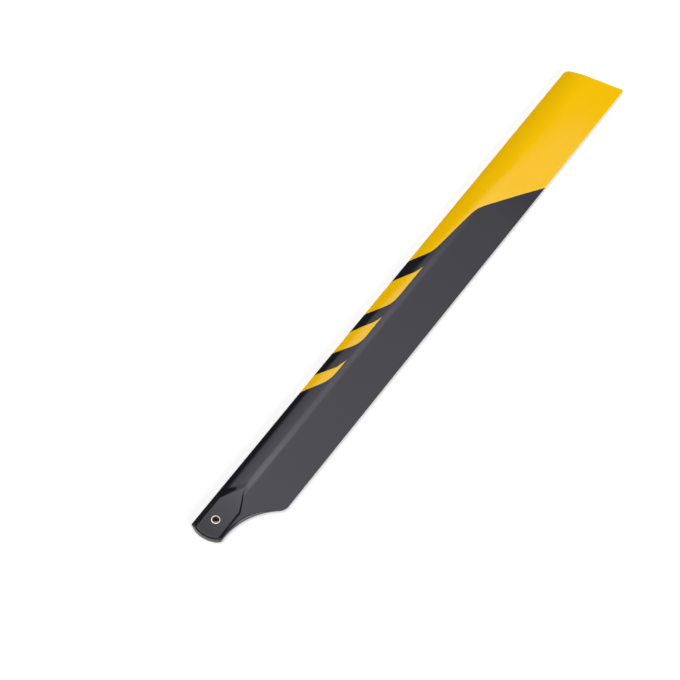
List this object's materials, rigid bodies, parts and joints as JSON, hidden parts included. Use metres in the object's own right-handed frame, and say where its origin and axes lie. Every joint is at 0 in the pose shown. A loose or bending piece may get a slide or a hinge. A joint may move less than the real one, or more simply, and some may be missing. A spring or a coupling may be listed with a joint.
{
  "type": "model helicopter rotor blade",
  "caption": "Straight rotor blade with a symmetric aerofoil, a raked tip and a flat pointed grip root; a brass-bushed hole takes the blade grip's bolt.",
  "frame": {"origin": "middle of the bolt hole, on the chord plane, halfway between the grip faces", "axes": "+X from the bolt hole to the tip, +Y towards the leading edge, +Z along the bolt"},
  "size_m": [0.3344, 0.0305, 0.0044],
  "materials": {
    "blade_paint": "gloss black with yellow tip field and flashes",
    "bush_brass": "turned, bright"
  },
  "bodies": {
    "root": {"blade": "blade_paint", "root_bush": "bush_brass"}
  },
  "joints": []
}
